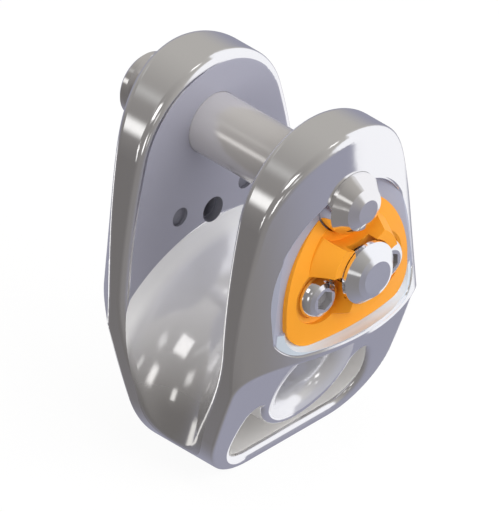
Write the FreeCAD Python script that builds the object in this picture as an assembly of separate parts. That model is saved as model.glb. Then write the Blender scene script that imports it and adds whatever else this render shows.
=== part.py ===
import FreeCAD
import Part
import os
from math import atan2, cos, hypot, pi, radians, sin, sqrt, tan

V = FreeCAD.Vector

# Driving dimensions, millimetres. x runs across the cheeks, y from front (-) to rear (+), z up.

# The rope gap and the outline of the cheeks, seen along y.
gap = 27.4
height = 84.7
top_radius = 21.6
shoulder_lean = 14.8
widest_z = 25.7
corner_radius = 14.4

# The crowned outer faces: part of an ellipse across x, standing out more towards the bottom.
crown_overhang = 0.74
crown_bulge = 17.7
crown_depth_top = 12.25
crown_slope = 0.0963

# The inclined lower face and the hollow that leads it out to the crown.
foot_depth = 15.8
foot_angle = 20.0
hollow_start_z = 28.35
hollow_radius = 12.6

# The saddle: a half-round groove, turned about an axis along y.
saddle_axis_z = 9.3
saddle_flat_half = 1.13
saddle_wall = 3.8

# The eye through the foot and the crescent slot that rings it.
eye_z = 19.8
eye_radius = 7.4
eye_mouth_radius = 4.1
slot_inner_radius = 13.2
slot_side_wall = 7.36
slot_floor_z = 3.1
slot_floor_corner = 7.0
slot_lobe_radius = 2.4
slot_rim_fillet = 1.5

# The recess in the front cheek.
recess_floor_y = -24.1
recess_border = 6.26
recess_top_border = 11.7
recess_spring_z = 47.7
recess_flare_radius = 5.2
recess_flare_z = 43.6
recess_corner = 5.5

edge_fillet = 2.06
foot_fillet = 0.8
recess_rim_step = 0.5
recess_rim_depth = 0.4

# The pin and its bores.
pin_z = 69.1
pin_radius = 7.0
pin_clearance = 0.05
pin_shoulder_y = -27.6
pin_cone_y = -30.4
pin_cone_radius = 4.84
pin_nose_y = -31.6
pin_nose_radius = 2.68
pin_groove_radius = 5.7
pin_groove_half = 0.8
pin_neck_start_y = 28.2
pin_neck_radius = 5.2
pin_neck_chamfer = 0.8
pin_knob_start_y = 32.0
pin_knob_end_y = 34.3
pin_knob_radius = 7.2
pin_knob_chamfer = 0.7
pin_knob_back = 0.6
pin_knob_lip = 0.4

# The release button, its stem and its ring.
button_z = 53.9
button_radius = 7.0
button_back_y = -30.9
button_rim_y = -31.8
button_cone_y = -33.7
button_cone_radius = 4.94
button_face_y = -34.3
button_face_radius = 3.7
button_travel = 2.5
stem_radius = 3.3
stem_end_y = -25.2
stem_cone_y = -23.6
stem_tail_radius = 2.0
stem_tail_y = -16.4
stem_bore_radius = 2.25
stem_clearance = 0.15
stem_tail_chamfer = 0.3
ring_radius = 3.6
ring_thickness = 0.6
ring_play = 0.05
ring_groove_depth = 0.5
ring_bore_radius = 4.0
ring_shoulder_y = -17.5

# The springs.
latch_wire_radius = 0.7
latch_y = -22.7
latch_bar_gap = 0.06
latch_bar_half = 3.3
latch_shoulder_half = 4.4
latch_shoulder_drop = 1.1
latch_knee_rise = 1.7
latch_waist_half = 1.0
latch_waist_drop = 4.4
latch_cross_half = 0.85
latch_cross_drop = 5.1
latch_toe_half = 3.6
latch_toe_gap = 0.3
pocket_half_width = 5.5
pocket_low_z = 43.2
pocket_top_z = 63.6
pocket_depth = 2.8
pocket_corner = 1.5
coil_wire_radius = 0.4
coil_radius = 4.05
coil_turns = 3.5
coil_play = 0.05
coil_steps = 16

# The cover insert.
insert_border = 2.6
insert_top_border = 4.4
insert_spring_z = 47.0
insert_corner = 5.8
insert_base_gap = 0.8
insert_edge_y = -25.3
insert_crown_y = -27.7
boss_base_y = -26.0
boss_base_radius = 11.9
boss_top_y = -30.9
boss_top_radius = 9.4
boss_counterbore = 7.2
boss_floor_y = -28.2
coil_bore_radius = 4.6
coil_seat_y = -24.9
scoop_radius = 9.3
scoop_floor_y = -25.3
scoop_bore_radius = 7.3

# The cover screws: M5 button heads with a 4 mm hexagon socket.
screw_x = 9.57
screw_z = 50.0
screw_head_radius = 4.75
screw_seat_y = -25.25
screw_head_height = 2.75
screw_head_rim = 0.5
screw_bulge_height = 1.9
screw_bulge_inset = 0.3
screw_front_radius = 3.8
screw_flat_height = 0.5
screw_flat_radius = 2.9
screw_shank_radius = 2.5
screw_end_y = -16.2
screw_end_chamfer = 0.5
screw_bore_radius = 2.52
screw_bore_end_y = -15.6
screw_pass_radius = 2.75
screw_hollow_radius = 5.15
screw_hollow_mouth = 6.2
screw_hollow_step_y = -25.5
socket_across = 4.0
socket_depth = 1.6

# Drill marks and the blind hole in the rear cheek.
tap_drill_radius = 2.16
drill_mark_depth = 0.8
blind_z = 47.2
blind_radius = 2.88
blind_depth = 1.85
blind_inner_radius = 2.3
blind_inner_depth = 6.0

# What follows from the values above: the top arc, the long side arcs and the bottom corners are
# tangent, and the widths of crown, slot, recess and insert go with the width of the outline.
half_gap = gap / 2
top_centre_z = height - top_radius
lean = radians(shoulder_lean)
shoulder_x = top_radius * cos(lean)
shoulder_z = top_centre_z + top_radius * sin(lean)
side_radius = (shoulder_z - widest_z) / sin(lean)
side_centre_x = shoulder_x - side_radius * cos(lean)
half_width = side_centre_x + side_radius
corner_reach = side_radius - corner_radius
corner_x = side_centre_x + sqrt(corner_reach ** 2 - (widest_z - corner_radius) ** 2)
corner_lean = atan2(widest_z - corner_radius, corner_x - side_centre_x)
foot = radians(foot_angle)
crown_half_width = half_width + crown_overhang
slot_outer_radius = half_width - slot_side_wall
recess_half_width = half_width - recess_border
recess_rise = height - recess_top_border - recess_spring_z
insert_half_width = recess_half_width - insert_border
insert_rise = recess_spring_z + recess_rise - insert_top_border - insert_spring_z
insert_crown_rise = insert_edge_y - insert_crown_y
insert_crown_radius = (insert_half_width ** 2 + insert_crown_rise ** 2) / (2 * insert_crown_rise)
recess_base_z = recess_flare_z - recess_flare_radius


def on_circle(cx, cz, r, angle):
    return V(cx + r * cos(angle), 0, cz + r * sin(angle))


def arc(a, b, c):
    return Part.Arc(a, b, c).toShape()


def line(a, b):
    return Part.makeLine(a, b)


def mirror_x(shape):
    return shape.mirror(V(0, 0, 0), V(1, 0, 0))


def mirror_y(shape):
    return shape.mirror(V(0, 0, 0), V(0, 1, 0))


def prism_y(edges, y0, y1):
    face = Part.Face(Part.Wire(Part.__sortEdges__(edges)))
    face.translate(V(0, y0, 0))
    return face.extrude(V(0, y1 - y0, 0))


def prism_x(edges, x0, x1):
    face = Part.Face(Part.Wire(Part.__sortEdges__(edges)))
    face.translate(V(x0, 0, 0))
    return face.extrude(V(x1 - x0, 0, 0))


def cylinder_y(r, y0, y1, x=0.0, z=0.0):
    return Part.makeCylinder(r, y1 - y0, V(x, y0, z), V(0, 1, 0))


def half_ellipse(half, rise, z):
    # The upper half of an upright ellipse about (0, z), whichever of its axes is the longer.
    if rise >= half:
        return Part.Ellipse(V(0, 0, z + rise), V(half, 0, z), V(0, 0, z)).toShape(-pi / 2, pi / 2)
    return Part.Ellipse(V(half, 0, z), V(0, 0, z + rise), V(0, 0, z)).toShape(0, pi)


def outline_edges():
    right = []
    a = on_circle(corner_x, corner_radius, corner_radius, -pi / 2)
    b = on_circle(corner_x, corner_radius, corner_radius, (-pi / 2 - corner_lean) / 2)
    c = on_circle(corner_x, corner_radius, corner_radius, -corner_lean)
    right.append(arc(a, b, c))
    d = on_circle(side_centre_x, widest_z, side_radius, (lean - corner_lean) / 2)
    e = V(shoulder_x, 0, shoulder_z)
    right.append(arc(c, d, e))
    left = [mirror_x(edge) for edge in right]
    top = arc(e, V(0, 0, height), V(-shoulder_x, 0, shoulder_z))
    base = line(a, V(-a.x, 0, 0))
    return right + left + [top, base]


def crown_depth(z):
    return crown_depth_top + crown_slope * (height - z)


def crown_centre(z):
    return half_gap + crown_depth(z) - crown_bulge


def crown_wire(z):
    w = crown_half_width
    c = crown_centre(z)
    front = Part.Ellipse(V(0, -c, z), w, crown_bulge).toShape(pi, 2 * pi)
    rear = Part.Ellipse(V(0, c, z), w, crown_bulge).toShape(0, pi)
    return Part.Wire([front, line(V(w, -c, z), V(w, c, z)), rear, line(V(-w, c, z), V(-w, -c, z))])


def crown_solid():
    return Part.makeLoft([crown_wire(-5.0), crown_wire(height + 5.0)], True, True)


def foot_cutter():
    y0 = -foot_depth / 2
    y1 = y0 - hollow_start_z * tan(foot)
    cy = y1 - hollow_radius * cos(foot)
    cz = hollow_start_z - hollow_radius * sin(foot)
    low = V(0, y0 + 10.0 * tan(foot), -10.0)
    start = V(0, y1, hollow_start_z)
    middle_angle = (foot + pi / 2) / 2
    middle = V(0, cy + hollow_radius * cos(middle_angle), cz + hollow_radius * sin(middle_angle))
    end = V(0, cy, cz + hollow_radius)
    out = V(0, -70.0, cz + hollow_radius)
    out_low = V(0, -70.0, -10.0)
    edges = [line(low, start), arc(start, middle, end), line(end, out), line(out, out_low)]
    edges.append(line(out_low, low))
    return prism_x(edges, -45.0, 45.0)


def saddle_profile(reach):
    # The half-round groove as a face in the plane x = 0, from the axis out to the cheeks.
    rim = saddle_axis_z + reach
    a = V(0, -half_gap, saddle_axis_z)
    b = V(0, -half_gap, rim)
    m = V(0, 0, rim - half_gap)
    c = V(0, half_gap, rim)
    d = V(0, half_gap, saddle_axis_z)
    return [line(a, b), arc(b, m, c), line(c, d), line(d, a)]


def saddle_drum(reach):
    face = Part.Face(Part.Wire(saddle_profile(reach)))
    left = face.copy()
    left.translate(V(-saddle_flat_half, 0, 0))
    half = left.revolve(V(-saddle_flat_half, 0, saddle_axis_z), V(0, 1, 0), -180.0)
    strip = left.extrude(V(2 * saddle_flat_half, 0, 0))
    return half, mirror_x(half), strip


def gap_cutter():
    reach = slot_outer_radius + saddle_wall + half_gap
    slab = Part.makeBox(90.0, gap, 110.0, V(-45.0, -half_gap, -10.0))
    left, right, strip = saddle_drum(reach)
    below = Part.makeBox(2 * saddle_flat_half, gap, saddle_axis_z + 10.0,
                         V(-saddle_flat_half, -half_gap, -10.0))
    return slab.cut([left, right, strip, below])


def slot_edges():
    # Lobe ends: small circles that touch both the inner and the outer wall.
    d1 = slot_outer_radius - slot_lobe_radius
    d2 = slot_inner_radius + slot_lobe_radius
    rise = eye_z - saddle_axis_z
    h = (d1 ** 2 - d2 ** 2 + rise ** 2) / (2 * rise)
    lobe_x = sqrt(d1 ** 2 - h ** 2)
    lobe_z = saddle_axis_z + h
    out_dir = atan2(lobe_z - saddle_axis_z, lobe_x)
    in_dir = atan2(lobe_z - eye_z, lobe_x)
    outer_top = on_circle(0, saddle_axis_z, slot_outer_radius, out_dir)
    inner_top = on_circle(0, eye_z, slot_inner_radius, in_dir)
    lobe_mid = on_circle(lobe_x, lobe_z, slot_lobe_radius, (out_dir + in_dir + pi) / 2)
    # Floor corner: an arc that touches the outer wall and the flat floor.
    fc_z = slot_floor_z + slot_floor_corner
    reach = slot_outer_radius - slot_floor_corner
    fc_x = sqrt(reach ** 2 - (fc_z - saddle_axis_z) ** 2)
    fc_dir = atan2(fc_z - saddle_axis_z, fc_x)
    corner_top = on_circle(0, saddle_axis_z, slot_outer_radius, fc_dir)
    corner_mid = on_circle(fc_x, fc_z, slot_floor_corner, (fc_dir - pi / 2) / 2)
    corner_low = V(fc_x, 0, slot_floor_z)
    outer_mid = on_circle(0, saddle_axis_z, slot_outer_radius, (out_dir + fc_dir) / 2)
    right = [
        arc(corner_low, corner_mid, corner_top),
        arc(corner_top, outer_mid, outer_top),
        arc(outer_top, lobe_mid, inner_top),
    ]
    left = [mirror_x(edge) for edge in right]
    inner = arc(inner_top, V(0, 0, eye_z - slot_inner_radius), V(-inner_top.x, 0, inner_top.z))
    floor = line(corner_low, V(-corner_low.x, 0, corner_low.z))
    return right + left + [inner, floor]


def recess_edges(grow):
    # The arch of the recess seen along y, grown all round.
    base = recess_base_z - grow
    w = recess_half_width + grow
    rc = recess_corner + grow
    low = base + rc
    s = sin(pi / 4)
    arch = half_ellipse(w, recess_rise + grow, recess_spring_z)
    right = [
        line(V(w, 0, recess_spring_z), V(w, 0, low)),
        arc(V(w, 0, low), V(w - rc + rc * s, 0, low - rc * s), V(w - rc, 0, base)),
    ]
    left = [mirror_x(edge) for edge in right]
    floor = line(V(w - rc, 0, base), V(rc - w, 0, base))
    return [arch] + right + left + [floor]


def flare_band():
    # The concave band between floor and wall, along the bottom of the recess and round its two
    # lower corners: its metal side, from a profile in the plane x = 0.
    r = recess_flare_radius
    y0 = recess_floor_y
    s = sin(pi / 4)
    a = V(0, y0, recess_flare_z)
    m = V(0, y0 - r + r * s, recess_flare_z - r * s)
    b = V(0, y0 - r, recess_base_z)
    corner = V(0, y0, recess_base_z)
    profile = Part.Face(Part.Wire([arc(a, m, b), line(b, corner), line(corner, a)]))
    x = recess_half_width - recess_corner
    profile.translate(V(-x, 0, 0))
    straight = profile.extrude(V(2 * x, 0, 0))
    left = profile.revolve(V(-x, 0, recess_base_z + recess_corner), V(0, 1, 0), 90.0)
    return [straight, left, mirror_x(left)]


def recess_cutter():
    arch = prism_y(recess_edges(0.0), recess_floor_y - 30.0, recess_floor_y)
    return arch.cut(flare_band())


def pick(shape, test):
    found = []
    for edge in shape.Edges:
        p = edge.valueAt((edge.FirstParameter + edge.LastParameter) / 2)
        if test(edge, p):
            found.append(edge)
    return found


def turned(points, x, z):
    # A solid of revolution about an axis along y, from (radius, y) points that start and end on it.
    ends = [V(x, y, z + r) for r, y in points]
    ring = Part.makePolygon(ends + [ends[0]])
    return Part.Face(ring).revolve(V(x, 0, z), V(0, 1, 0), 360.0)


def cut_recess(solid):
    # The recess and the small step round its rim, which follows the crowned face.
    step = prism_y(recess_edges(recess_rim_step), recess_floor_y - 30.0, recess_floor_y)
    inner = crown_solid()
    inner.translate(V(0, recess_rim_depth, 0))
    return solid.cut([recess_cutter(), step.cut(inner)])


def on_outline(p):
    # True near the outer edge of the cheeks, and false round the recess.
    if p.z > shoulder_z:
        return hypot(p.x, p.z - top_centre_z) > top_radius - 0.1
    if p.z < corner_radius:
        return True
    return hypot(abs(p.x) - side_centre_x, p.z - widest_z) > side_radius - 0.1


def body_blank():
    outline = prism_y(outline_edges(), -50.0, 50.0)
    solid = cut_recess(outline.common(crown_solid()))
    outer = pick(solid, lambda e, p: abs(p.y) > half_gap + 1 and p.z > 1 and e.Length > 3
                 and e.Curve.TypeId != "Part::GeomLine" and on_outline(p))
    solid = solid.makeFillet(edge_fillet, outer)
    solid = solid.cut([foot_cutter(), mirror_y(foot_cutter())])
    sides = pick(solid, lambda e, p: p.z < hollow_start_z and abs(p.y) > 0.5)
    solid = solid.makeFillet(foot_fillet, sides)
    solid = solid.cut(gap_cutter())
    reach = slot_outer_radius + saddle_wall + half_gap
    inner = pick(solid, lambda e, p: abs(abs(p.y) - half_gap) < 0.01
                 and hypot(p.x, p.z - saddle_axis_z) > reach + 0.1)
    solid = solid.makeFillet(edge_fillet, inner)
    return solid


def cut_eye(solid):
    solid = solid.cut(cylinder_y(eye_radius, -40, 40, 0, eye_z))
    mouth = pick(solid, lambda e, p: e.Length > 30
                 and abs(hypot(p.x, p.z - eye_z) - eye_radius) < 0.05)
    return solid.makeFillet(eye_mouth_radius, mouth)


def cut_slot(solid):
    solid = solid.cut(prism_y(slot_edges(), -40, 40))
    rim = pick(solid, lambda e, p: abs(p.y) > 5 and slot_floor_z - 0.1 < p.z < hollow_start_z
               and abs(abs(p.y) - foot_depth / 2 - p.z * tan(foot)) < 0.05
               and hypot(p.x, p.z - saddle_axis_z) < slot_outer_radius + 0.2
               and hypot(p.x, p.z - eye_z) > slot_inner_radius - 0.3)
    return solid.makeFillet(slot_rim_fillet, rim)


def pocket_edges():
    w = pocket_half_width
    z0 = pocket_low_z
    z1 = pocket_top_z
    return [line(V(-w, 0, z0), V(w, 0, z0)), line(V(w, 0, z0), V(w, 0, z1)),
            line(V(w, 0, z1), V(-w, 0, z1)), line(V(-w, 0, z1), V(-w, 0, z0))]


def body_cutters():
    bore = pin_radius + pin_clearance
    cutters = [cylinder_y(bore, -45, 45, 0, pin_z)]
    pocket = prism_y(pocket_edges(), recess_floor_y - 1, recess_floor_y + pocket_depth)
    upright = pick(pocket, lambda e, p: abs(e.Length - pocket_depth - 1) < 0.01)
    cutters.append(pocket.makeFillet(pocket_corner, upright))
    cutters.append(cylinder_y(stem_bore_radius, recess_floor_y, -half_gap + 1, 0, button_z))
    cutters.append(cylinder_y(ring_bore_radius, ring_shoulder_y, -half_gap + 1, 0, button_z))
    for side in (-1, 1):
        x = side * screw_x
        cutters.append(cylinder_y(screw_bore_radius, recess_floor_y - 1, screw_bore_end_y, x, screw_z))
        cutters.append(cylinder_y(tap_drill_radius, screw_bore_end_y, -half_gap + 1, x, screw_z))
        cutters.append(cylinder_y(tap_drill_radius, half_gap - 1, half_gap + drill_mark_depth, x, screw_z))
    cutters.append(cylinder_y(blind_radius, half_gap - 1, half_gap + blind_depth, 0, blind_z))
    cutters.append(cylinder_y(blind_inner_radius, half_gap, half_gap + blind_inner_depth, 0, blind_z))
    return cutters


def make_body():
    solid = body_blank()
    solid = cut_eye(solid)
    solid = cut_slot(solid)
    return solid.cut(body_cutters())


def make_pin():
    g = pin_groove_half
    return turned([
        (0, pin_nose_y), (pin_nose_radius, pin_nose_y), (pin_cone_radius, pin_cone_y),
        (pin_radius, pin_shoulder_y), (pin_radius, latch_y - g), (pin_groove_radius, latch_y - g),
        (pin_groove_radius, latch_y + g), (pin_radius, latch_y + g),
        (pin_radius, pin_neck_start_y), (pin_neck_radius, pin_neck_start_y + pin_neck_chamfer),
        (pin_neck_radius, pin_knob_start_y - pin_knob_back),
        (pin_knob_radius - pin_knob_back, pin_knob_start_y),
        (pin_knob_radius, pin_knob_start_y + pin_knob_lip),
        (pin_knob_radius, pin_knob_end_y - pin_knob_chamfer),
        (pin_knob_radius - pin_knob_chamfer, pin_knob_end_y), (0, pin_knob_end_y),
    ], 0, pin_z)


def make_button():
    groove_front = ring_shoulder_y + ring_play
    groove_radius = stem_tail_radius - ring_groove_depth
    return turned([
        (0, button_face_y), (button_face_radius, button_face_y), (button_cone_radius, button_cone_y),
        (button_radius, button_rim_y), (button_radius, button_back_y), (stem_radius, button_back_y),
        (stem_radius, stem_end_y), (stem_tail_radius, stem_cone_y), (stem_tail_radius, groove_front),
        (groove_radius, groove_front), (groove_radius, groove_front + ring_thickness),
        (stem_tail_radius, groove_front + ring_thickness),
        (stem_tail_radius, stem_tail_y - stem_tail_chamfer),
        (stem_tail_radius - stem_tail_chamfer, stem_tail_y), (0, stem_tail_y),
    ], 0, button_z)


def make_ring():
    # Open below, so that it slides into the groove of the stem from the side.
    y0 = ring_shoulder_y + ring_play
    y1 = y0 + ring_thickness
    inner = stem_tail_radius - ring_groove_depth
    outer = cylinder_y(ring_radius, y0, y1, 0, button_z)
    mouth = Part.makeBox(2 * inner, ring_thickness + 2, ring_radius + 1,
                         V(-inner, y0 - 1, button_z - ring_radius - 1))
    return outer.cut([cylinder_y(inner, y0 - 1, y1 + 1, 0, button_z), mouth])


def make_coil():
    y0 = button_back_y + coil_wire_radius + coil_play
    y1 = coil_seat_y - coil_wire_radius - coil_play
    count = int(coil_turns * coil_steps)
    points = []
    for i in range(count + 1):
        angle = 2 * pi * coil_turns * i / count
        points.append(V(coil_radius * cos(angle), y0 + (y1 - y0) * i / count,
                        button_z + coil_radius * sin(angle)))
    curve = Part.BSplineCurve()
    curve.interpolate(points)
    path = Part.Wire(curve.toShape())
    ahead = curve.tangent(curve.FirstParameter)[0]
    profile = Part.Wire(Part.makeCircle(coil_wire_radius, points[0], ahead))
    return path.makePipeShell([profile], True, True)


def make_latch():
    bar_z = pin_z - pin_groove_radius - latch_wire_radius - latch_bar_gap
    half = [
        V(0, latch_y, bar_z),
        V(latch_bar_half, latch_y, bar_z),
        V(latch_shoulder_half, latch_y, bar_z - latch_shoulder_drop),
        V(latch_shoulder_half, latch_y, button_z + latch_knee_rise),
        V(latch_waist_half, latch_y, button_z - latch_waist_drop),
        V(latch_cross_half, latch_y, button_z - latch_cross_drop),
        V(latch_toe_half, latch_y, pocket_low_z + latch_wire_radius + latch_toe_gap),
    ]
    right = Part.makePolygon(half)
    left = right.mirror(V(0, 0, 0), V(1, 0, 0))
    path = Part.Wire(Part.__sortEdges__(left.Edges + right.Edges))
    start = path.OrderedVertexes[0].Point
    ahead = path.OrderedVertexes[1].Point - start
    profile = Part.Wire(Part.makeCircle(latch_wire_radius, start, ahead))
    return path.makePipeShell([profile], True, True, 2)


def insert_outline():
    base = recess_base_z + insert_base_gap
    w = insert_half_width
    rc = insert_corner
    s = sin(pi / 4)
    arch = half_ellipse(w, insert_rise, insert_spring_z)
    low = base + rc
    right = [
        arc(V(w, 0, low), V(w - rc + rc * s, 0, low - rc * s), V(w - rc, 0, base)),
    ]
    if insert_spring_z > low + 0.01:
        right.append(line(V(w, 0, insert_spring_z), V(w, 0, low)))
    left = [mirror_x(edge) for edge in right]
    return [arch] + right + left + [line(V(w - rc, 0, base), V(-w + rc, 0, base))]


def pillow_solid():
    # The crowned front of the insert: a ball's cap above its spring line, the same arc below it.
    r = insert_crown_radius
    centre_y = insert_crown_y + r
    ball = Part.makeSphere(r, V(0, centre_y, insert_spring_z))
    roll = Part.makeCylinder(r, insert_spring_z - recess_base_z, V(0, centre_y, recess_base_z))
    upper = Part.makeBox(90.0, 20.0, 60.0, V(-45.0, recess_floor_y - 20.0, insert_spring_z))
    lower = Part.makeBox(90.0, 20.0, 60.0, V(-45.0, recess_floor_y - 20.0, insert_spring_z - 60.0))
    return ball.common(upper).fuse(roll.common(lower))


def screw_hollow(x):
    m = screw_hollow_mouth
    r = screw_hollow_radius
    y1 = screw_hollow_step_y
    return turned([(0, screw_seat_y), (r, screw_seat_y), (r, y1), (m, y1 - (m - r) / 2), (m, -40.0),
                   (0, -40.0)], x, screw_z)


def make_insert():
    outline = prism_y(insert_outline(), -40, recess_floor_y)
    shape = pillow_solid().common(outline)
    boss = turned([(0, recess_floor_y), (boss_base_radius, recess_floor_y),
                   (boss_base_radius, boss_base_y), (boss_top_radius, boss_top_y), (0, boss_top_y)],
                  0, button_z)
    shape = shape.fuse(boss.common(outline)).common(recess_cutter())
    for side in (-1, 1):
        x = side * screw_x
        shape = shape.cut(screw_hollow(x))
        shape = shape.cut(cylinder_y(screw_pass_radius, -40, recess_floor_y + 1, x, screw_z))
    return shape.cut([
        cylinder_y(boss_counterbore, -40, boss_floor_y, 0, button_z),
        cylinder_y(coil_bore_radius, -40, coil_seat_y, 0, button_z),
        cylinder_y(stem_radius + stem_clearance, -40, recess_floor_y + 1, 0, button_z),
        cylinder_y(scoop_radius, -40, scoop_floor_y, 0, pin_z),
        cylinder_y(scoop_bore_radius, -40, recess_floor_y + 1, 0, pin_z),
    ])


def make_screw(x):
    r = screw_head_radius
    y0 = screw_seat_y
    y1 = screw_seat_y - screw_head_height
    c = screw_end_chamfer
    side = V(x, y0 - screw_head_rim, screw_z + r)
    bulge = V(x, y0 - screw_bulge_height, screw_z + r - screw_bulge_inset)
    front = V(x, y1, screw_z + screw_front_radius)
    y2 = y1 - screw_flat_height
    flat_edge = V(x, y2, screw_z + screw_flat_radius)
    k = screw_shank_radius
    points = [
        V(x, y2, screw_z), V(x, screw_end_y, screw_z), V(x, screw_end_y, screw_z + k - c),
        V(x, screw_end_y - c, screw_z + k), V(x, y0, screw_z + k), V(x, y0, screw_z + r), side,
    ]
    edges = [line(points[i], points[i + 1]) for i in range(len(points) - 1)]
    edges += [arc(side, bulge, front), line(front, flat_edge), line(flat_edge, points[0])]
    solid = Part.Face(Part.Wire(edges)).revolve(points[0], V(0, 1, 0), 360.0)
    flat = socket_across / 2
    point = flat / cos(pi / 6)
    corners = [V(x + point * sin(i * pi / 3), y2 - 1, screw_z + point * cos(i * pi / 3))
               for i in range(6)]
    socket = Part.Face(Part.makePolygon(corners + [corners[0]])).extrude(V(0, socket_depth + 1, 0))
    return solid.cut(socket)


def export(shape, name):
    # A cut can leave its one solid wrapped in a compound.
    os.makedirs("parts", exist_ok=True)
    shape.Solids[0].exportStep("parts/%s.step" % name)


def main():
    pieces = {
        "body": make_body(),
        "attachment_pin": make_pin(),
        "release_button": make_button(),
        "button_ring": make_ring(),
        "button_spring": make_coil(),
        "latch_spring": make_latch(),
        "cover_insert": make_insert(),
        "left_cover_screw": make_screw(-screw_x),
        "right_cover_screw": make_screw(screw_x),
    }
    for name, shape in pieces.items():
        export(shape, name)


main()
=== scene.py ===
import math

import bpy
from mathutils import Matrix, Vector


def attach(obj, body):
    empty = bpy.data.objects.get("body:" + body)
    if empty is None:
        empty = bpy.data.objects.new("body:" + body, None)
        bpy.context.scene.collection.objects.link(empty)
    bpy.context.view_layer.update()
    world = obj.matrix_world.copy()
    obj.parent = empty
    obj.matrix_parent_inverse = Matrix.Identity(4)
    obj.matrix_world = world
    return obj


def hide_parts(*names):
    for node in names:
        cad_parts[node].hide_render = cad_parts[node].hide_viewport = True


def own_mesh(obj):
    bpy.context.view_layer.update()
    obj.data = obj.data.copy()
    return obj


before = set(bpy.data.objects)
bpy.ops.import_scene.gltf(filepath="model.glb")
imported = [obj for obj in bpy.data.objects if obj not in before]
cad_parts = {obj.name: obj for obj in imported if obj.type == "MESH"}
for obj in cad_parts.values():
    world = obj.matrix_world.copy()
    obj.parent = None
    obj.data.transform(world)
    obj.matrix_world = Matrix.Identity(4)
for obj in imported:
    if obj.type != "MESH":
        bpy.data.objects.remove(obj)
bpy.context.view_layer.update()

scene = bpy.context.scene

# All lengths are in metres.

# View of the reference: orthographic, looking down along (1, 1, -1).
ORTHO_SCALE = 0.10542
VIEW_RIGHT = Vector((1, -1, 0)).normalized()
VIEW_UP = Vector((1, 1, 2)).normalized()
VIEW_AHEAD = Vector((1, 1, -1)).normalized()
VIEW_CENTRE = VIEW_RIGHT * -0.00217 + VIEW_UP * 0.0345
VIEW_DISTANCE = 0.6

# The floor lies just under the part. Seen by the camera it is nearly all glow, and the rest of it
# takes the part's shadow.
FLOOR_SIZE = 6.0
FLOOR_Z = -0.0002
FLOOR_GLOW = 1.05
FLOOR_GLOW_SHARE = 0.88

# The lamps face this height on the part, from this far away.
LAMP_AIM_Z = 0.04
LAMP_DISTANCE = 0.9

# Half of the gap between the cheeks is 0.0137. Surfaces this close to it are the inner flats.
GAP_HALF_LOW = 0.01366
GAP_HALF_HIGH = 0.01374

# The saddle: a groove of round section, turned about an axis along y.
SADDLE_AXIS_Z = 0.0093
SADDLE_TURN_RADIUS = 0.0366
SADDLE_SECTION_RADIUS = 0.01375
SADDLE_INNER_EDGE = 0.0360

# The eye, and the slot that rings it.
EYE_Z = 0.0198
EYE_REACH = 0.0115
EYE_DEPTH = 0.0215
SLOT_OUTER_RADIUS = 0.01915
SLOT_INNER_RADIUS = 0.01315
SLOT_TOP_Z = 0.0186
SLOT_DEPTH = 0.0185
SLOT_CORNER_X = 0.01208
SLOT_CORNER_Z = 0.0101
SLOT_CORNER_RADIUS = 0.00704

# The recess: half an ellipse on straight sides, with rounded lower corners.
RECESS_BACK_Y = -0.0138
RECESS_SPRING_Z = 0.0477
RECESS_HALF_WIDTH = 0.0203
RECESS_RISE = 0.0254
RECESS_CORNER_X = 0.01471
RECESS_CORNER_Z = 0.0439
RECESS_CORNER_RADIUS = 0.0056
FLARE_TOP_Z = 0.0437
FLARE_BACK_Y = -0.0243

# The drill marks in line with the screws, and the blind hole between them.
SCREW_X = 0.00957
SCREW_Z = 0.050
BLIND_HOLE_Z = 0.0472
HOLE_REACH = 0.0030
HOLE_FRONT_Y = 0.01372
HOLE_BACK_Y = 0.0205

# The part of the pin that is ground, and the sockets of the screws.
BARREL_HALF = 0.020
SOCKET_REACH = 0.00236
SOCKET_FRONT_Y = -0.02848
SOCKET_BACK_Y = -0.0265

# How much the roughness of the metals varies.
ROUGHNESS_DRIFT = 0.02


def srgb(r, g, b):
    def channel(c):
        c = c / 255.0
        return c / 12.92 if c <= 0.04045 else ((c + 0.055) / 1.055) ** 2.4
    return (channel(r), channel(g), channel(b), 1.0)


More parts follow.
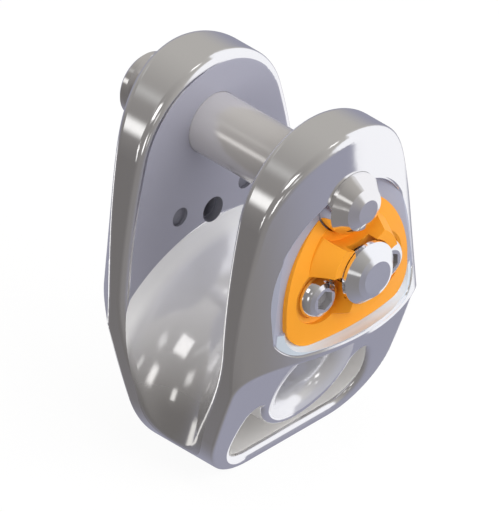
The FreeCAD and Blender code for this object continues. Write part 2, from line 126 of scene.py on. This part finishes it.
class Nodes:
    """A small helper to build node trees in reading order."""

    def __init__(self, tree):
        self.tree = tree
        tree.nodes.clear()

    def add(self, kind, **values):
        node = self.tree.nodes.new(kind)
        for name, value in values.items():
            setattr(node, name, value)
        return node

    def link(self, out, into):
        self.tree.links.new(out, into)

    def put(self, value, into):
        if hasattr(value, "is_output"):
            self.link(value, into)
        else:
            into.default_value = value

    def math(self, operation, a, b=0.0):
        node = self.add("ShaderNodeMath", operation=operation)
        self.put(a, node.inputs[0])
        self.put(b, node.inputs[1])
        return node.outputs[0]

    def step(self, value, low, high, out_low=0.0, out_high=1.0):
        # A soft step from out_low to out_high; with low above high it falls instead of rising.
        if low > high:
            low, high, out_low, out_high = high, low, out_high, out_low
        node = self.add("ShaderNodeMapRange", interpolation_type="SMOOTHSTEP")
        for i, v in enumerate((value, low, high, out_low, out_high)):
            self.put(v, node.inputs[i])
        return node.outputs[0]

    def mix(self, factor, a, b):
        node = self.add("ShaderNodeMix", data_type="RGBA")
        self.put(factor, node.inputs[0])
        self.put(a, node.inputs[6])
        self.put(b, node.inputs[7])
        return node.outputs[2]

    def choose(self, mask, a, b):
        node = self.add("ShaderNodeMix", data_type="FLOAT")
        self.put(mask, node.inputs[0])
        self.put(a, node.inputs[2])
        self.put(b, node.inputs[3])
        return node.outputs[0]

    def below(self, value, limit):
        return self.math("LESS_THAN", value, limit)

    def above(self, value, limit):
        return self.math("GREATER_THAN", value, limit)

    def both(self, *masks):
        # Inside all of the masks, which may be two or more.
        result = masks[0]
        for mask in masks[1:]:
            result = self.math("MULTIPLY", result, mask)
        return result

    def beyond(self, a, b):
        # How far a lies beyond b, and 0 where it doesn't.
        return self.math("MAXIMUM", self.math("SUBTRACT", a, b), 0.0)

    def split(self, vector):
        axes = self.add("ShaderNodeSeparateXYZ")
        self.link(vector, axes.inputs[0])
        return axes.outputs

    def reach(self, a, b):
        # The distance that two offsets at right angles make.
        squares = self.math("ADD", self.math("MULTIPLY", a, a), self.math("MULTIPLY", b, b))
        return self.math("SQRT", squares)

    def dot(self, vector, direction):
        node = self.add("ShaderNodeVectorMath", operation="DOT_PRODUCT")
        self.link(vector, node.inputs[0])
        node.inputs[1].default_value = Vector(direction).normalized()
        return node.outputs["Value"]


# Soft-edged windows of the room: direction, half width, half height, edge and brightness.
WINDOWS = [
    ((-0.69, -0.05, 0.72), 0.22, 0.16, 0.02, 1.5),
    ((-0.86, -0.49, 0.13), 0.09, 0.14, 0.05, 1.5),
    ((-0.77, 0.57, 0.28), 0.11, 0.10, 0.06, 1.0),
    ((-0.58, -0.64, 0.50), 0.10, 0.08, 0.04, 0.85),
    ((-0.96, 0.29, 0.00), 0.07, 0.09, 0.04, 1.4),
    ((-0.35, 0.62, 0.70), 0.40, 0.03, 0.08, 0.55),
    ((0.31, -0.04, 0.95), 0.10, 0.10, 0.04, 1.3),
    ((-0.15, 0.84, -0.52), 0.12, 0.16, 0.05, 1.2),
    ((-0.56, -0.83, 0.06), 0.05, 0.08, 0.03, 0.85),
]


def window(n, direction, towards, half_width, half_height, edge):
    # How far a direction lies inside a window, from 0 outside to 1 inside.
    towards = Vector(towards).normalized()
    across = Vector((0, 0, 1)).cross(towards).normalized()
    upward = towards.cross(across)
    width = n.step(n.math("ABSOLUTE", n.dot(direction, across)), half_width + edge, half_width - edge)
    height = n.step(n.math("ABSOLUTE", n.dot(direction, upward)), half_height + edge, half_height - edge)
    return n.both(width, height, n.above(n.dot(direction, towards), 0.0))


def build_world():
    # The room, by direction: a bright wall to the right and ahead of the front, warm grey above, a
    # cooler grey below to the right and a darker one below to the left. The camera sees it white.
    world = bpy.data.worlds.new("studio")
    scene.world = world
    world.use_nodes = True
    n = Nodes(world.node_tree)
    direction = n.add("ShaderNodeTexCoord").outputs["Generated"]
    x, y, z = n.split(direction)
    left = n.mix(n.step(y, 0.3, -0.5), srgb(112, 109, 108), srgb(131, 128, 127))
    lower = n.mix(n.step(x, -0.75, 0.45), left, srgb(150, 150, 165))
    upper = n.mix(n.step(x, -0.9, 0.5), srgb(132, 129, 127), srgb(176, 173, 169))
    room = n.mix(n.step(z, -0.3, 0.35), lower, upper)
    ahead = n.step(n.dot(direction, (0.66, -0.66, 0.36)), 0.84, 0.93)
    wall = n.both(n.step(x, 0.60, 0.63), n.step(y, 0.45, 0.25))
    room = n.mix(n.math("MAXIMUM", wall, ahead), room, (0.92, 0.92, 0.95, 1.0))
    for towards, half_width, half_height, edge, glow in WINDOWS:
        inside = window(n, direction, towards, half_width, half_height, edge)
        room = n.mix(inside, room, (glow, glow * 0.985, glow * 0.965, 1.0))
    background = n.add("ShaderNodeBackground")
    n.link(room, background.inputs["Color"])
    white = n.add("ShaderNodeBackground")
    white.inputs["Color"].default_value = (1, 1, 1, 1)
    path = n.add("ShaderNodeLightPath")
    mix = n.add("ShaderNodeMixShader")
    n.link(path.outputs["Is Camera Ray"], mix.inputs[0])
    n.link(background.outputs[0], mix.inputs[1])
    n.link(white.outputs[0], mix.inputs[2])
    out = n.add("ShaderNodeOutputWorld")
    n.link(mix.outputs[0], out.inputs["Surface"])


def body_regions(n, coord):
    # Masks over the machined body: what is milled or turned has its own finish, and most of the masks also
    # carry painted light or shade in their colour.
    x, y, z = n.split(coord)
    side = n.math("ABSOLUTE", x)
    depth = n.math("ABSOLUTE", y)
    from_axis = n.reach(x, n.math("SUBTRACT", z, SADDLE_AXIS_Z))
    from_eye = n.reach(x, n.math("SUBTRACT", z, EYE_Z))

    arch = n.reach(n.math("DIVIDE", x, RECESS_HALF_WIDTH),
                   n.math("DIVIDE", n.beyond(z, RECESS_SPRING_Z), RECESS_RISE))
    corner = n.reach(n.beyond(side, RECESS_CORNER_X), n.beyond(RECESS_CORNER_Z, z))
    # The recess is painted a darker lavender grey: a painted reflection of the room, as the polished flats
    # show it.
    recess_painted_reflection = n.both(n.below(y, RECESS_BACK_Y), n.below(arch, 1.0), n.below(corner, RECESS_CORNER_RADIUS))
    # The flare is painted lighter and bluer than the recess: painted highlight, with the blue cancelling
    # the insert's orange bounce light.
    flare_painted_highlight = n.both(recess_painted_reflection, n.below(z, FLARE_TOP_Z), n.below(y, FLARE_BACK_Y))

    floor = n.reach(n.beyond(side, SLOT_CORNER_X), n.beyond(SLOT_CORNER_Z, z))
    # The slot's light warm grey is painted light, so that its shaded hollow reads as lit from above.
    slot_painted_light = n.both(n.below(from_axis, SLOT_OUTER_RADIUS), n.above(from_eye, SLOT_INNER_RADIUS),
                  n.below(z, SLOT_TOP_Z), n.below(floor, SLOT_CORNER_RADIUS), n.below(depth, SLOT_DEPTH))
    eye = n.both(n.below(from_eye, EYE_REACH), n.below(depth, EYE_DEPTH))

    section = n.reach(y, n.math("SUBTRACT", SADDLE_TURN_RADIUS, from_axis))
    # The saddle is painted darker than the body: painted shade, which shows on its lower part below the
    # lighter top.
    saddle_painted_shade = n.both(n.below(depth, GAP_HALF_LOW), n.below(from_axis, SADDLE_TURN_RADIUS),
                    n.below(section, SADDLE_SECTION_RADIUS))
    # The top of the saddle is painted lighter: painted light from above.
    saddle_top_painted_light = n.both(saddle_painted_shade, n.step(z, 0.012, 0.038))
    # A white band along the saddle's edge at the rear cheek: a painted highlight.
    rim_painted_highlight = n.both(saddle_painted_shade, n.step(y, 0.0118, 0.0131))
    # The inner flats of the cheeks are painted a darker lavender grey: a painted reflection of the room,
    # as the polished flats show it.
    cheek_painted_reflection = n.both(n.below(depth, GAP_HALF_HIGH), n.above(depth, GAP_HALF_LOW),
                   n.above(from_axis, SADDLE_INNER_EDGE))

    from_mark = n.reach(n.math("SUBTRACT", side, SCREW_X), n.math("SUBTRACT", z, SCREW_Z))
    from_hole = n.reach(x, n.math("SUBTRACT", z, BLIND_HOLE_Z))
    # The holes in the rear cheek's inner face are painted dark: painted shade inside them.
    hole_painted_shade = n.both(n.above(y, HOLE_FRONT_Y), n.below(y, HOLE_BACK_Y),
                  n.below(n.math("MINIMUM", from_mark, from_hole), HOLE_REACH))
    # A later region lies over an earlier one.
    return {"recess_painted_reflection": recess_painted_reflection, "flare_painted_highlight": flare_painted_highlight, "slot_painted_light": slot_painted_light, "saddle_painted_shade": saddle_painted_shade, "saddle_top_painted_light": saddle_top_painted_light, "rim_painted_highlight": rim_painted_highlight,
            "cheek_painted_reflection": cheek_painted_reflection, "eye": eye, "hole_painted_shade": hole_painted_shade}


# The finish of each region: metallic, roughness and colour. Most of these colours are painted light or
# shade, as noted at each.
BODY_FINISH_AND_PAINTED_LIGHT = {
    # Recess: painted reflection of the room's lavender grey.
    "recess_painted_reflection": (0.20, 0.50, (0.46, 0.48, 0.58, 1)),
    # Flare: painted highlight, tinted blue against the orange bounce light.
    "flare_painted_highlight": (0.20, 0.40, (0.69, 0.77, 0.85, 1)),
    # Slot: painted light, a light warm grey.
    "slot_painted_light": (0.10, 0.45, (0.90, 0.89, 0.87, 1)),
    # Saddle: painted shade, darker than the body.
    "saddle_painted_shade": (0.82, 0.12, (0.64, 0.63, 0.62, 1)),
    # Top of the saddle: painted light, a lighter colour.
    "saddle_top_painted_light": (0.30, 0.15, (0.96, 0.96, 0.99, 1)),
    # Saddle's edge at the rear cheek: painted highlight, white.
    "rim_painted_highlight": (0.10, 0.25, (1.00, 1.00, 1.00, 1)),
    # Inner flats of the cheeks: painted reflection of the room's lavender grey.
    "cheek_painted_reflection": (0.20, 0.50, (0.43, 0.43, 0.51, 1)),
    "eye": (0.60, 0.12, (0.90, 0.90, 0.92, 1)),
    # Holes: painted shade, dark.
    "hole_painted_shade": (0.20, 0.50, (0.24, 0.24, 0.28, 1)),
}


def grained(n, coord, roughness):
    # Roughness with a fine grain and a slow drift, and a bump as faint as machining marks.
    grain = n.add("ShaderNodeTexNoise")
    grain.inputs["Scale"].default_value = 900.0
    grain.inputs["Detail"].default_value = 4.0
    n.link(coord, grain.inputs["Vector"])
    drift = n.add("ShaderNodeTexNoise")
    drift.inputs["Scale"].default_value = 60.0
    n.link(coord, drift.inputs["Vector"])
    both = n.math("ADD", grain.outputs["Fac"], drift.outputs["Fac"])
    change = n.step(both, 0.6, 1.4, -ROUGHNESS_DRIFT, ROUGHNESS_DRIFT)
    bump = n.add("ShaderNodeBump")
    bump.inputs["Strength"].default_value = 0.02
    bump.inputs["Distance"].default_value = 0.0001
    n.link(grain.outputs["Fac"], bump.inputs["Height"])
    return n.math("ADD", roughness, change), bump.outputs[0]


def pin_regions(n, coord):
    # The barrel between the cheeks is ground, the nose and the knob are turned bright.
    y = n.split(coord)[1]
    return {"barrel": n.below(n.math("ABSOLUTE", y), BARREL_HALF)}


PIN_FINISH = {"barrel": (0.60, 0.18, (0.78, 0.76, 0.75, 1))}


def screw_regions(n, coord):
    # The sockets are broached and not polished as the heads are. Their darker colour is painted shade in
    # the hollow.
    x, y, z = n.split(coord)
    from_axis = n.reach(n.math("SUBTRACT", n.math("ABSOLUTE", x), SCREW_X), n.math("SUBTRACT", z, SCREW_Z))
    return {"socket_painted_shade": n.both(n.below(from_axis, SOCKET_REACH), n.above(y, SOCKET_FRONT_Y),
                             n.below(y, SOCKET_BACK_Y))}


# Sockets: painted shade, a dark colour.
SCREW_FINISH_AND_PAINTED_SHADE = {"socket_painted_shade": (0.25, 0.45, (0.40, 0.39, 0.40, 1))}


def metal(name, color, roughness, regions=None, finishes_and_painted_light=None):
    # A polished metal, with other finishes in the regions that the given function masks. The colours of
    # these regions can carry painted light or shade.
    material = bpy.data.materials.new(name)
    material.use_nodes = True
    n = Nodes(material.node_tree)
    shader = n.add("ShaderNodeBsdfPrincipled")
    out = n.add("ShaderNodeOutputMaterial")
    n.link(shader.outputs[0], out.inputs["Surface"])
    coord = n.add("ShaderNodeTexCoord").outputs["Object"]
    metallic = 1.0
    if regions:
        for region, mask in regions(n, coord).items():
            region_metallic, region_roughness, region_color = finishes_and_painted_light[region]
            metallic = n.choose(mask, metallic, region_metallic)
            roughness = n.choose(mask, roughness, region_roughness)
            color = n.mix(mask, color, region_color)
    roughness, normal = grained(n, coord, roughness)
    n.put(color, shader.inputs["Base Color"])
    n.put(metallic, shader.inputs["Metallic"])
    n.put(roughness, shader.inputs["Roughness"])
    n.put(normal, shader.inputs["Normal"])
    return material


def plastic(name, color, roughness):
    # A moulded plastic with a slight mottle and a fine grain.
    material = bpy.data.materials.new(name)
    material.use_nodes = True
    n = Nodes(material.node_tree)
    shader = n.add("ShaderNodeBsdfPrincipled")
    out = n.add("ShaderNodeOutputMaterial")
    n.link(shader.outputs[0], out.inputs["Surface"])
    coord = n.add("ShaderNodeTexCoord")
    mottle = n.add("ShaderNodeTexNoise")
    mottle.inputs["Scale"].default_value = 260.0
    n.link(coord.outputs["Object"], mottle.inputs["Vector"])
    darker = tuple(c * 0.96 for c in color[:3]) + (1.0,)
    n.link(n.mix(mottle.outputs["Fac"], darker, color), shader.inputs["Base Color"])
    shader.inputs["Roughness"].default_value = roughness
    shader.inputs["IOR"].default_value = 1.46
    grain = n.add("ShaderNodeTexNoise")
    grain.inputs["Scale"].default_value = 2500.0
    n.link(coord.outputs["Object"], grain.inputs["Vector"])
    bump = n.add("ShaderNodeBump")
    bump.inputs["Strength"].default_value = 0.04
    bump.inputs["Distance"].default_value = 0.0001
    n.link(grain.outputs["Fac"], bump.inputs["Height"])
    n.link(bump.outputs[0], shader.inputs["Normal"])
    return material


def paint(material, *names):
    for name in names:
        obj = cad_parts[name]
        obj.data.materials.clear()
        obj.data.materials.append(material)


def build_coil(material):
    # The button's spring, seated in the insert, as its own copy on the block.
    coil = bpy.data.objects.new("button_coil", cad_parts["button_spring"].data.copy())
    scene.collection.objects.link(coil)
    coil.data.materials.clear()
    coil.data.materials.append(material)
    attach(coil, "block")
    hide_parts("button_spring")
    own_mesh(coil)


def build_floor():
    bpy.ops.mesh.primitive_plane_add(size=FLOOR_SIZE, location=(0, 0, FLOOR_Z))
    floor = bpy.context.object
    floor.name = "floor"
    material = bpy.data.materials.new("floor_white")
    material.use_nodes = True
    n = Nodes(material.node_tree)
    path = n.add("ShaderNodeLightPath")
    glow = n.add("ShaderNodeEmission")
    glow.inputs["Color"].default_value = (1, 1, 1, 1)
    glow.inputs["Strength"].default_value = FLOOR_GLOW
    matte = n.add("ShaderNodeBsdfDiffuse")
    matte.inputs["Color"].default_value = (0.8, 0.8, 0.8, 1)
    share = n.math("MULTIPLY", path.outputs["Is Camera Ray"], FLOOR_GLOW_SHARE)
    mix = n.add("ShaderNodeMixShader")
    n.link(share, mix.inputs[0])
    n.link(matte.outputs[0], mix.inputs[1])
    n.link(glow.outputs[0], mix.inputs[2])
    out = n.add("ShaderNodeOutputMaterial")
    n.link(mix.outputs[0], out.inputs["Surface"])
    floor.data.materials.append(material)
    floor.visible_glossy = False
    floor.visible_diffuse = False
    floor.visible_shadow = False


def build_camera():
    data = bpy.data.cameras.new("view")
    data.type = "ORTHO"
    data.ortho_scale = ORTHO_SCALE
    data.clip_start = 0.01
    data.clip_end = 20.0
    camera = bpy.data.objects.new("view", data)
    scene.collection.objects.link(camera)
    rotation = Matrix((VIEW_RIGHT, VIEW_UP, -VIEW_AHEAD)).transposed().to_4x4()
    camera.matrix_world = Matrix.Translation(VIEW_CENTRE - VIEW_AHEAD * VIEW_DISTANCE) @ rotation
    scene.camera = camera


def add_lamp(name, direction, size, glow):
    # A square panel that faces the part from the given direction, with its brightness per area.
    # It isn't mirrored in the metal, which shows the room alone.
    data = bpy.data.lights.new(name, "AREA")
    data.shape = "RECTANGLE"
    data.size = data.size_y = size
    data.energy = glow * math.pi * size * size
    light = bpy.data.objects.new(name, data)
    scene.collection.objects.link(light)
    towards = Vector(direction).normalized()
    light.location = Vector((0, 0, LAMP_AIM_Z)) + towards * LAMP_DISTANCE
    light.rotation_euler = (-towards).to_track_quat("-Z", "Y").to_euler()
    light.visible_glossy = False


build_world()
build_floor()
build_camera()

paint(metal("body_metal", (0.97, 0.97, 0.98, 1), 0.12, body_regions, BODY_FINISH_AND_PAINTED_LIGHT), "body")
paint(metal("pin_metal", (0.95, 0.94, 0.94, 1), 0.12, pin_regions, PIN_FINISH), "attachment_pin")
paint(metal("button_metal", (0.97, 0.98, 1.0, 1), 0.12), "release_button")
paint(metal("screw_metal", (0.93, 0.93, 0.95, 1), 0.14, screw_regions, SCREW_FINISH_AND_PAINTED_SHADE),
      "left_cover_screw", "right_cover_screw")
spring_steel = metal("spring_steel", (0.7, 0.7, 0.72, 1), 0.25)
paint(spring_steel, "button_spring", "latch_spring", "button_ring")
build_coil(spring_steel)
paint(plastic("insert_plastic", (1.0, 0.39, 0.02, 1), 0.5), "cover_insert")

add_lamp("front_fill", (0.1, -1.0, 0.5), 0.8, 1.9)
add_lamp("gap_fill", (0.1, -0.1, 1.0), 0.5, 2.2)
add_lamp("left_fill", (-1.0, -0.55, 0.35), 0.5, 2.6)
add_lamp("right_fill", (0.7, -0.8, 0.5), 0.6, 0.9)

scene.view_settings.view_transform = "Standard"
